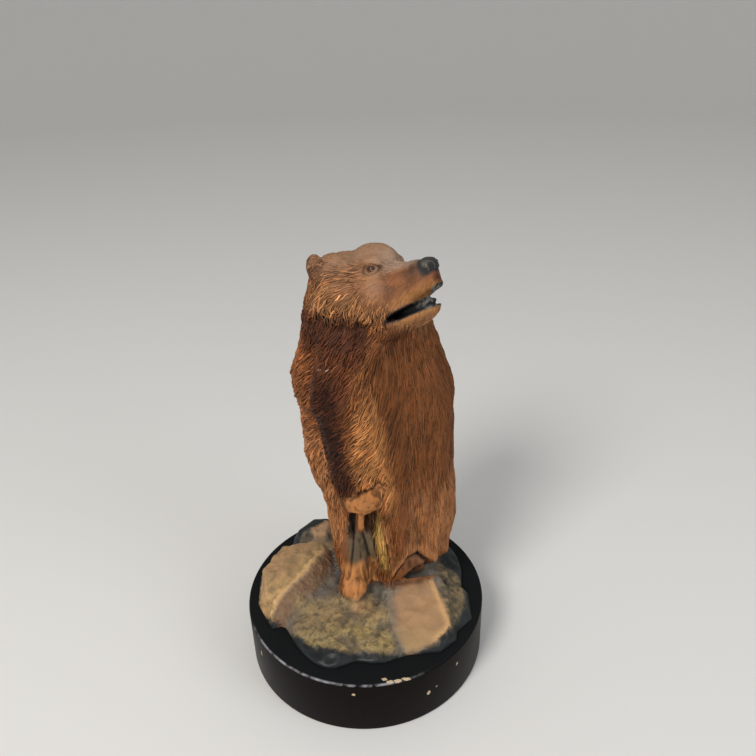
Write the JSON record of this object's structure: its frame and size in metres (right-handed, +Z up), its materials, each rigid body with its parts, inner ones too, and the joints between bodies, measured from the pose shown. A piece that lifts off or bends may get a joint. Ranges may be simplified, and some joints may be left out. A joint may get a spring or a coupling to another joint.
{
  "type": "bear figurine on a round plinth",
  "caption": "Cast resin figurine of a bear standing upright on rocks with its head turned and its mouth ajar, on a round black plinth.",
  "frame": {"origin": "centre of the plinth's underside", "axes": "+Z up along the figure, -Y towards the front that the figure shows, +X towards the side that the head looks to"},
  "size_m": [0.114, 0.114, 0.2039],
  "materials": {
    "bear_casting": "painted resin with dark washes and dry-brushed ridges, matte",
    "plinth": "black lacquer, glossy on the wall and matte on top"
  },
  "bodies": {
    "root": {"bear_casting": "bear_casting", "plinth": "plinth"}
  },
  "joints": []
}
